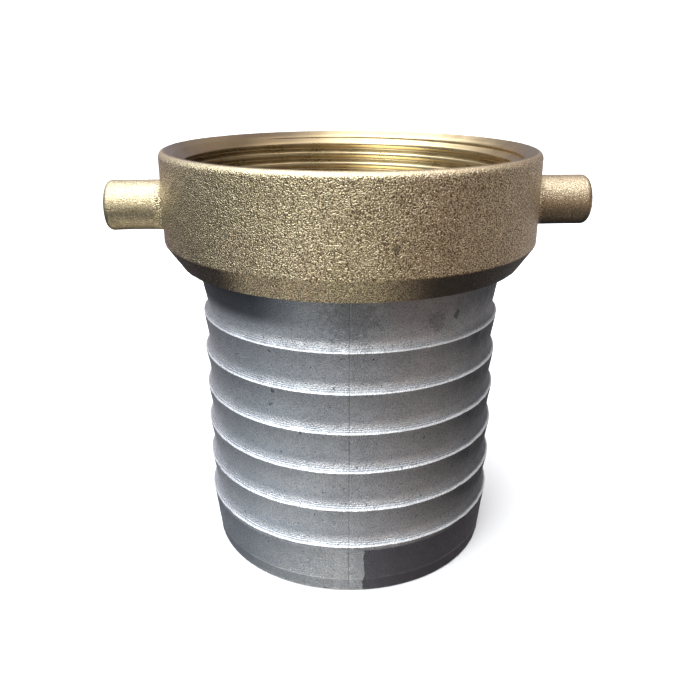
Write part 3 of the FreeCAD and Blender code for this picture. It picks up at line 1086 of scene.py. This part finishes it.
def lug_painted_shade(s):
    """Painted shade on the lugs' undersides, the right one darker than the left."""
    aside = s.along(RIGHT)
    under = s.over(s.along(UP), PIN_Z - PIN_R + 0.5, PIN_Z + 1.0, 1.0, 0.2)
    left = s.over(aside, -(RIM_R + 2.0), -RIM_R, 0.62, 0.0)
    right = s.over(aside, RIM_R, RIM_R + 2.0)
    return s.times(under, s.math("ADD", left, right))


def machined_brass():
    """Turned brass with fine tool lines, with painted shade and a painted dark reflection on the
    left, and a painted highlight in the thread right of the middle.
    """
    s = Shader("machined_brass")
    aside = s.along(RIGHT)
    lines = s.noise(0.22, 1.0, 0.5, stretch=(0.01, 0.01, 1))
    cloud = s.noise(6.0, 3.0, 0.6)
    base = s.mix(s.ramp(cloud, 0.3, 0.7), TURNED_DIM, TURNED_PALE)
    thread = s.over(s.along(UP), MOUTH_FOOT - 1.0, MOUTH_FOOT + 1.0, 1.0, 0.0)
    # Painted shade on the left of the thread.
    thread_shade = s.times(thread, s.over(aside, -44, -12, 0.5, 0.0))
    base = s.mix(thread_shade, base, PAINTED_THREAD_SHADE)
    # Painted dark reflection on the left of the mouth's bevel.
    mouth_left = s.times(s.over(aside, -42, -30, 0.3, 0.85), s.over(aside, -22, 0, 1.0, 0.0))
    base = s.mix(s.times(s.rest(thread), mouth_left), base, PAINTED_MOUTH_REFLECTION)
    # Painted highlight in the thread right of the middle.
    right_of_middle = s.times(s.over(aside, 18, 28, 0.8, 0.0), s.over(aside, -4, 9))
    base = s.mix(s.times(thread, right_of_middle), base, PAINTED_THREAD_HIGHLIGHT)
    rough = s.ramp(cloud, 0.3, 0.7, 0.26, 0.33)
    around = s.node("ShaderNodeTangent", direction_type="RADIAL", axis="Z")
    s.surface.inputs["Anisotropic"].default_value = 0.8
    s.surface.inputs["Anisotropic Rotation"].default_value = 0.25
    s.link(around.outputs["Tangent"], s.surface.inputs["Tangent"])
    relief = s.bump(lines, 0.006)
    return s.finish(Base_Color=base, Metallic=1.0, Roughness=rough, Normal=relief)


# Colours of the rubber.
RUBBER_DARK = (0.012, 0.012, 0.013, 1)
RUBBER_PALE = (0.03, 0.03, 0.03, 1)


def rubber():
    """Matt black rubber."""
    s = Shader("rubber")
    grain = s.noise(0.4, 2.0, 0.5)
    base = s.mix(s.ramp(grain, 0.3, 0.7), RUBBER_DARK, RUBBER_PALE)
    return s.finish(Base_Color=base, Roughness=0.65, Normal=s.bump(grain, 0.03))


# Stage, light and camera.

# The floor, in metres: its width and ends, and the rounding and height of its far side.
FLOOR_WIDTH = 8.0
FLOOR_NEAR = -4.0
FLOOR_FAR = 3.0
FLOOR_BEND = 1.5
FLOOR_BEND_PARTS = 12
FLOOR_RISE = 5.0
FLOOR_COLOUR = (0.93, 0.93, 0.93, 1)
# The dome round the stage: its radius in metres, and its parts round and up.
DOME_RADIUS = 9.0
DOME_SEGMENTS = 48
DOME_RINGS = 24
WHITE = (1, 1, 1, 1)
BLACK = (0, 0, 0, 1)


def matt_material(mesh, **sockets):
    """Gives a mesh of the stage a matt material, with its surface shader's sockets set by name."""
    material = bpy.data.materials.new(mesh.name)
    material.use_nodes = True
    mesh.materials.append(material)
    surface = material.node_tree.nodes["Principled BSDF"]
    surface.inputs["Specular IOR Level"].default_value = 0.0
    for name, value in sockets.items():
        surface.inputs[name.replace("_", " ")].default_value = value
    return material


def stage_object(mesh):
    """An object of the stage that the part neither mirrors nor takes light from."""
    thing = bpy.data.objects.new(mesh.name, mesh)
    thing.visible_glossy = False
    thing.visible_diffuse = False
    bpy.context.scene.collection.objects.link(thing)
    return thing


def make_floor():
    """A pale floor whose far side rises into a backdrop."""
    bend_from = FLOOR_FAR - FLOOR_BEND
    outline = [(FLOOR_NEAR, 0.0), (bend_from, 0.0)]
    for turn in quarter_turn(FLOOR_BEND_PARTS):
        y = bend_from + FLOOR_BEND * math.sin(turn)
        outline.append((y, FLOOR_BEND * (1 - math.cos(turn))))
    outline.append((FLOOR_FAR, FLOOR_RISE))
    points = [(side * FLOOR_WIDTH / 2, y, z) for side in (-1, 1) for y, z in outline]
    count = len(outline)
    faces = [(k, k + 1, count + k + 1, count + k) for k in range(count - 1)]
    mesh = bpy.data.meshes.new("floor")
    mesh.from_pydata(points, [], faces)
    for face in mesh.polygons:
        face.use_smooth = True
    matt_material(mesh, Base_Color=FLOOR_COLOUR, Roughness=1.0)
    floor = stage_object(mesh)


def make_backdrop():
    """A plain white dome far round the stage, so that no side shows the floor's end."""
    mesh = bpy.data.meshes.new("backdrop")
    dome = bmesh.new()
    bmesh.ops.create_uvsphere(
        dome, u_segments=DOME_SEGMENTS, v_segments=DOME_RINGS, radius=DOME_RADIUS
    )
    dome.to_mesh(mesh)
    dome.free()
    glow = {"Emission_Color": WHITE, "Emission_Strength": 1.0}
    material = matt_material(mesh, Base_Color=BLACK, **glow)
    material.cycles.emission_sampling = "NONE"
    backdrop = stage_object(mesh)
    backdrop.visible_shadow = False


def glow_direction(azimuth, elevation):
    """A direction from its angle right of the front and its height, in degrees."""
    angle = FRONT + math.radians(azimuth)
    rise = math.radians(elevation)
    return (math.cos(angle) * math.cos(rise), math.sin(angle) * math.cos(rise), math.sin(rise))


def make_world():
    """A studio of wide soft glows, brightest high on the left and from underneath."""
    world = bpy.data.worlds.new("studio")
    sky = Nodes(world, "Generated")
    total = None
    for azimuth, elevation, tightness, colour in GLOWS:
        facing = sky.along(glow_direction(azimuth, elevation))
        falling = sky.math("MULTIPLY", sky.math("SUBTRACT", facing, 1.0), tightness)
        glow = sky.node("ShaderNodeVectorMath", operation="SCALE")
        glow.inputs[0].default_value = colour
        sky.link(sky.math("EXPONENT", falling), glow.inputs["Scale"])
        if total is None:
            total = glow.outputs["Vector"]
            continue
        add = sky.node("ShaderNodeVectorMath", operation="ADD")
        sky.link(total, add.inputs[0])
        sky.link(glow.outputs["Vector"], add.inputs[1])
        total = add.outputs["Vector"]
    sky.link(total, sky.tree.nodes["Background"].inputs["Color"])
    bpy.context.scene.world = world


def make_camera():
    """The photograph's camera."""
    data = bpy.data.cameras.new("camera")
    data.sensor_width = SENSOR
    data.lens = FOCAL_PIXELS / PICTURE * SENSOR
    data.shift_x = (PICTURE / 2 - AXIS_PIXEL_X) / PICTURE
    data.shift_y = (AXIS_PIXEL_Y - PICTURE / 2) / PICTURE
    data.clip_start = 0.01
    camera = bpy.data.objects.new("camera", data)
    place = Vector((0, -CAMERA_DISTANCE, NUT_HIGH.z + CAMERA_ABOVE_RIM)) * MM
    turned = Matrix.Rotation(-CAMERA_YAW, 4, "Z")
    tipped = Matrix.Rotation(math.pi / 2 - CAMERA_PITCH, 4, "X")
    rolled = Matrix.Rotation(CAMERA_ROLL, 4, "Z")
    camera.matrix_world = turned @ Matrix.Translation(place) @ tipped @ rolled
    bpy.context.scene.collection.objects.link(camera)
    bpy.context.scene.camera = camera


def main():
    """Builds and places every piece."""
    shank = make_shank()
    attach(shank, "shank")
    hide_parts("hose_shank")

    nut = make_nut()
    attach(nut, "nut")
    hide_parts("swivel_nut")

    washer = make_gasket()
    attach(washer, "shank")
    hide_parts("gasket")

    make_floor()
    make_backdrop()
    make_world()
    make_camera()
    bpy.context.scene.view_settings.view_transform = "Standard"


main()
